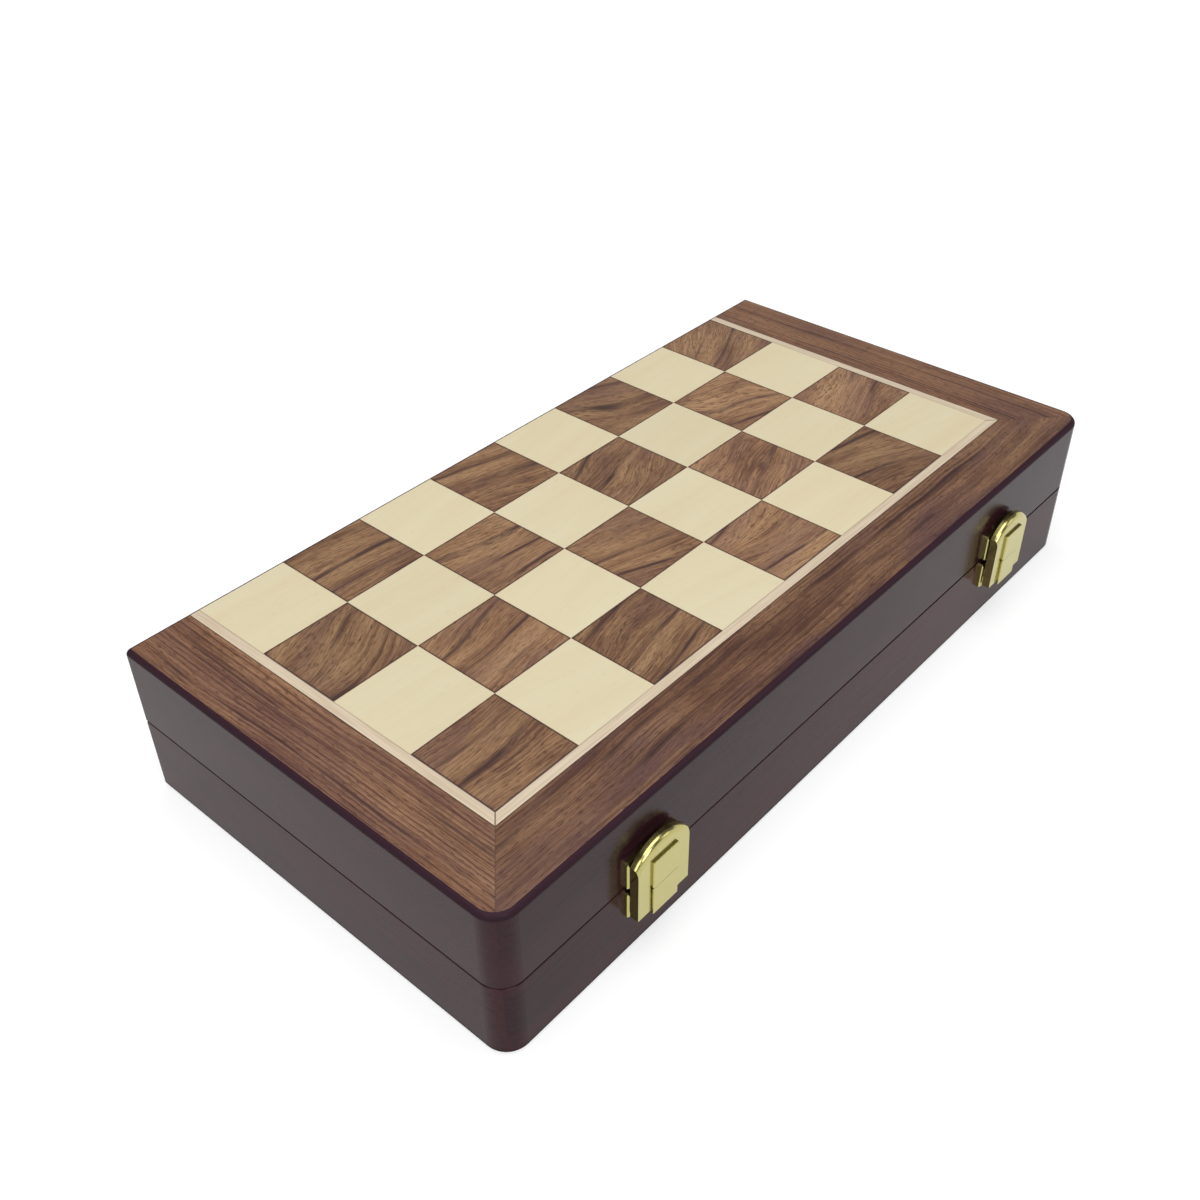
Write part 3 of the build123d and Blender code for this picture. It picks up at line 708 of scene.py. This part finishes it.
def finished_mesh(name, shape, low, high, upright):
    """The mesh of a shape made from height 0 up, set into its box, upright or turned over."""
    for vertex in shape.verts:
        vertex.co.z = low[2] + vertex.co.z if upright else high[2] - vertex.co.z
    bmesh.ops.recalc_face_normals(shape, faces=shape.faces)
    mesh = bpy.data.meshes.new(name)
    shape.to_mesh(mesh)
    shape.free()
    return mesh


def die_cut_block(low, high, seam_up):
    """The block's mesh, with its pockets opening towards the seam."""
    shape = bmesh.new()
    height = high[2] - low[2]
    walls = [rimmed_wall(shape, low, high, BLOCK_CORNER, 0.0, height, -1)]
    for pocket_low, pocket_high in pocket_boxes(low, high):
        walls.append(rimmed_wall(shape, pocket_low, pocket_high, POCKET_CORNER, 0.0, height, 1))
    cover(shape, [bottom for bottom, top in walls])
    cover(shape, [top for bottom, top in walls])
    return finished_mesh("die_cut_block", shape, low, high, seam_up)


foam_flock = green_flock("foam_flock")
for half, seam_up in (("base", True), ("lid", False)):
    low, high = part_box(f"{half}_foam_tray")
    mesh = die_cut_block(low, high, seam_up)
    tray = new_piece(f"{half}_foam", mesh, foam_flock, half)
    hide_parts(f"{half}_foam_tray")


# The hinges. Two brass butt hinges join the trays at the back, let into the rims, each with
# a rolled barrel of five knuckles on a brassed steel pin. The leaves are brushed lengthwise.

SIDES = ("left", "right")
HINGE_BRASS = (0.60, 0.50, 0.225)
PIN_BRASS = (0.52, 0.45, 0.215)
SMUDGE_FREQUENCY = (0.25, 0.25, 0.25)
SMUDGE_FROM = (0.35, 0.7)
SMUDGE_ROUGHER = 0.08
SCRATCH_FREQUENCY = (0.15, 12.0, 12.0)
SCRATCH_BUMP = (0.008, 0.5)
RIPPLE_FREQUENCY = (0.35, 0.35, 0.35)
RIPPLE_BUMP = (0.012, 0.6)


def polished_brass(name, colour, roughness, brushed=False):
    """Plated brass with soft smudges, and with fine scratches along X if it is brushed."""
    finish = Finish(name, Base_Color=colour, Metallic=1.0)
    place = finish.place()
    smudges = finish.noise(place, SMUDGE_FREQUENCY, detail=3.0)
    rough = finish.remap(smudges, *SMUDGE_FROM, roughness, roughness + SMUDGE_ROUGHER)
    finish.give("Roughness", rough)
    if brushed:
        scratches = finish.noise(place, SCRATCH_FREQUENCY)
        finish.give("Normal", finish.bump(scratches, *SCRATCH_BUMP))
    else:
        ripple = finish.noise(place, RIPPLE_FREQUENCY, detail=1.0)
        finish.give("Normal", finish.bump(ripple, *RIPPLE_BUMP))
    return finish.material


hinge_brass = polished_brass("hinge_brass", HINGE_BRASS, roughness=0.26, brushed=True)
pin_brass = polished_brass("pin_brass", PIN_BRASS, roughness=0.20)
for side in SIDES:
    dress(f"{side}_hinge_lower_leaf", hinge_brass)
    dress(f"{side}_hinge_upper_leaf", hinge_brass)
    dress(f"{side}_hinge_pin", pin_brass)


# The hinge screws. Each leaf has two countersunk brass screws with a cross recess, driven
# flush with the leaf.

SCREW_BRASS = (0.58, 0.50, 0.24)
SCREW_FROM_MIDDLE = 8.4 * MM
SCREW_HEAD_RADIUS = 1.5 * MM
SCREW_HEAD_DEPTH = 0.8 * MM
SCREW_SHANK_RADIUS = 0.8 * MM
CROSS_REACH = 0.95 * MM
CROSS_HALF_WIDTH = 0.2 * MM
CROSS_DEPTH = 0.55 * MM
CROSS_TAPER = 0.6
CROSS_TURN = 0.5
CROSS_TURN_APART = 0.9
CROSS_TURN_PER_METRE = 11
HEAD_EDGE = 0.08 * MM
SCREW_SIDES = 32


def circle(centre, radius, sides):
    turns = (2 * math.pi * i / sides for i in range(sides))
    x, y = centre
    return [(x + radius * math.cos(turn), y + radius * math.sin(turn)) for turn in turns]


def cross(centre, reach, half_width, turn):
    """The outline of a cross recess, turned about its middle."""
    arm = [(reach, -half_width), (reach, half_width), (half_width, half_width)]
    points = []
    for quarter in range(4):
        angle = turn + quarter * math.pi / 2
        for x, y in arm:
            points.append((centre[0] + x * math.cos(angle) - y * math.sin(angle),
                           centre[1] + x * math.sin(angle) + y * math.cos(angle)))
    return points


def screw(shape, centre, top, length, turn):
    """One screw, head up, as a shank, a cone and a head with a tapered cross in it."""
    profile = [(SCREW_SHANK_RADIUS, -length), (SCREW_SHANK_RADIUS, -SCREW_HEAD_DEPTH),
               (SCREW_HEAD_RADIUS, -HEAD_EDGE), (SCREW_HEAD_RADIUS - HEAD_EDGE, 0.0)]
    rings = []
    for radius, height in profile:
        rings.append(ring_of(shape, circle(centre, radius, SCREW_SIDES), top + height))
    skin(shape, rings)
    cover(shape, [rings[0]])
    mouth = ring_of(shape, cross(centre, CROSS_REACH, CROSS_HALF_WIDTH, turn), top)
    floor_points = cross(centre, CROSS_TAPER * CROSS_REACH, CROSS_TAPER * CROSS_HALF_WIDTH, turn)
    bottom = ring_of(shape, floor_points, top - CROSS_DEPTH)
    cover(shape, [rings[-1], mouth])
    for i in range(len(mouth)):
        j = (i + 1) % len(mouth)
        shape.faces.new((mouth[i], mouth[j], bottom[j], bottom[i]))
    cover(shape, [bottom])


screw_brass = polished_brass("screw_brass", SCREW_BRASS, roughness=0.22)
for node, leaf, half, head_up in (("hinge_lower_screws", "lower", "base", True),
                                  ("hinge_upper_screws", "upper", "lid", False)):
    low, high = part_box(node)
    shape = bmesh.new()
    length = high[2] - low[2]
    for side in SIDES:
        leaf_low, leaf_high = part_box(f"{side}_hinge_{leaf}_leaf")
        for direction in (-1, 1):
            middle_x = (leaf_low[0] + leaf_high[0]) / 2 + direction * SCREW_FROM_MIDDLE
            centre = (middle_x, (low[1] + high[1]) / 2)
            turn = CROSS_TURN + direction * CROSS_TURN_APART + middle_x * CROSS_TURN_PER_METRE
            screw(shape, centre, length, length, turn)
    mesh = finished_mesh(node, shape, low, high, head_up)
    screws = new_piece(f"{leaf}_cross_screws", mesh, screw_brass, half)
    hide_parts(node)


# The latches. Two draw latches of pressed brass, plated a pale greenish gold, are nailed to
# the front: a strike plate with a hook above, and below a plate with ears, the lever and the
# loop, which turn on small riveted pins.

LATCH_BRASS = (0.487, 0.440, 0.168)

latch_brass = polished_brass("latch_brass", LATCH_BRASS, roughness=0.16)
for side in SIDES:
    for piece in ("strike_plate", "base_plate", "lever", "draw_loop"):
        dress(f"{side}_latch_{piece}", latch_brass)
    for piece in ("lever_pin", "loop_pin"):
        dress(f"{side}_latch_{piece}", pin_brass)
for piece in ("latch_lower_nails", "latch_upper_nails"):
    dress(piece, screw_brass)


# The studio: a white floor and a white wall all round, far enough away to be nothing but
# background, under a dim ceiling, with four soft lamps.

FLOOR_HALF = 6.0
WALL_RADIUS = 4.0
WALL_HEIGHT = 1.3
WALL_SIDES = 48
SHADOW_REACH = 0.35
FLOOR_PLAIN_FROM = 1.1
FLOOR_GREY = (0.45, 0.45, 0.45)
FLOOR_OWN_WHITE = (0.61, 0.90)
WALL_GREY = (0.3, 0.3, 0.3)
WALL_OWN_WHITE = 0.97
CEILING_GREY = (0.18, 0.18, 0.19, 1.0)
SOFTBOXES = {
    "overhead_softbox": {"place": (-0.1, 0.0, 1.3), "size": 1.2, "power": 13.4},
    "left_softbox": {"place": (-1.2, -0.3, 0.9), "size": 0.7, "power": 5.0},
    "front_softbox": {"place": (-0.5, -1.2, 1.1), "size": 0.7, "power": 8.0},
    "right_softbox": {"place": (1.1, -1.2, 1.0), "size": 0.7, "power": 2.5},
}


def background_white(name, colour):
    """A matt white that shows as itself, in metal too, and the share that it gives off."""
    finish = Finish(name, Base_Color=colour, Roughness=0.9, Specular_IOR_Level=0.0,
                    Emission_Color=(1, 1, 1))
    path = finish.node("LightPath", {}).node
    seen = finish.math("MAXIMUM", path.outputs["Is Camera Ray"], path.outputs["Is Glossy Ray"])
    seen = finish.math("MAXIMUM", seen, path.outputs["Is Transmission Ray"])
    return finish, seen


def flat_mesh(name, corners, faces, material):
    mesh = bpy.data.meshes.new(name)
    mesh.from_pydata(corners, [], faces)
    mesh.materials.append(material)
    made = bpy.data.objects.new(name, mesh)
    bpy.context.scene.collection.objects.link(made)
    return made


floor_finish, floor_seen = background_white("floor_white", FLOOR_GREY)
from_middle = floor_finish.vector("LENGTH", floor_finish.node("TexCoord", {}, output="Object"))
from_middle = from_middle.node.outputs["Value"]
own_white = floor_finish.remap(from_middle, SHADOW_REACH, FLOOR_PLAIN_FROM, *FLOOR_OWN_WHITE)
floor_finish.give("Emission Strength", floor_finish.times(floor_seen, own_white))
floor_corners = [(-FLOOR_HALF, -FLOOR_HALF, 0), (FLOOR_HALF, -FLOOR_HALF, 0),
                 (FLOOR_HALF, FLOOR_HALF, 0), (-FLOOR_HALF, FLOOR_HALF, 0)]
floor = flat_mesh("floor", floor_corners, [(0, 1, 2, 3)], floor_finish.material)

wall_finish, wall_seen = background_white("wall_white", WALL_GREY)
wall_finish.give("Emission Strength", wall_finish.times(wall_seen, WALL_OWN_WHITE))
ring = circle((0.0, 0.0), WALL_RADIUS, WALL_SIDES)
wall_corners = [(x, y, 0) for x, y in ring] + [(x, y, WALL_HEIGHT) for x, y in ring]
neighbours = [(i, (i + 1) % WALL_SIDES) for i in range(WALL_SIDES)]
wall_faces = [(i, j, WALL_SIDES + j, WALL_SIDES + i) for i, j in neighbours]
wall = flat_mesh("wall", wall_corners, wall_faces, wall_finish.material)


def softbox(name, place, size, power):
    """A square lamp that points at the middle of the case."""
    lamp = bpy.data.lights.new(name, "AREA")
    lamp.shape = "SQUARE"
    lamp.size = size
    lamp.energy = power
    made = bpy.data.objects.new(name, lamp)
    made.location = place
    made.rotation_mode = "QUATERNION"
    made.rotation_quaternion = (-Vector(place)).to_track_quat("-Z", "Y")
    bpy.context.scene.collection.objects.link(made)


for name, values in SOFTBOXES.items():
    softbox(name, **values)

world = bpy.data.worlds.new("ceiling")
world.use_nodes = True
world.node_tree.nodes["Background"].inputs["Color"].default_value = CEILING_GREY
bpy.context.scene.world = world


# The camera stands where the photograph was taken from, above the front left corner, with a
# lens of about 40 mm, and leans over by a degree as it did.

CAMERA_PLACE = (-0.2755, -0.2211, 0.3003)
CAMERA_AIM = (-0.0176, 0.0101, 0.0275)
CAMERA_ROLL_DEGREES = -0.88
LENS_MM = 39.69

camera = bpy.data.objects.new("camera", bpy.data.cameras.new("camera"))
camera.data.lens = LENS_MM
camera.data.clip_start = 0.01
sight = Vector(CAMERA_AIM) - Vector(CAMERA_PLACE)
aimed = sight.to_track_quat("-Z", "Y").to_matrix().to_4x4()
rolled = aimed @ Matrix.Rotation(math.radians(CAMERA_ROLL_DEGREES), 4, "Z")
camera.matrix_world = Matrix.Translation(CAMERA_PLACE) @ rolled
bpy.context.scene.collection.objects.link(camera)
bpy.context.scene.camera = camera
bpy.context.scene.view_settings.view_transform = "Standard"
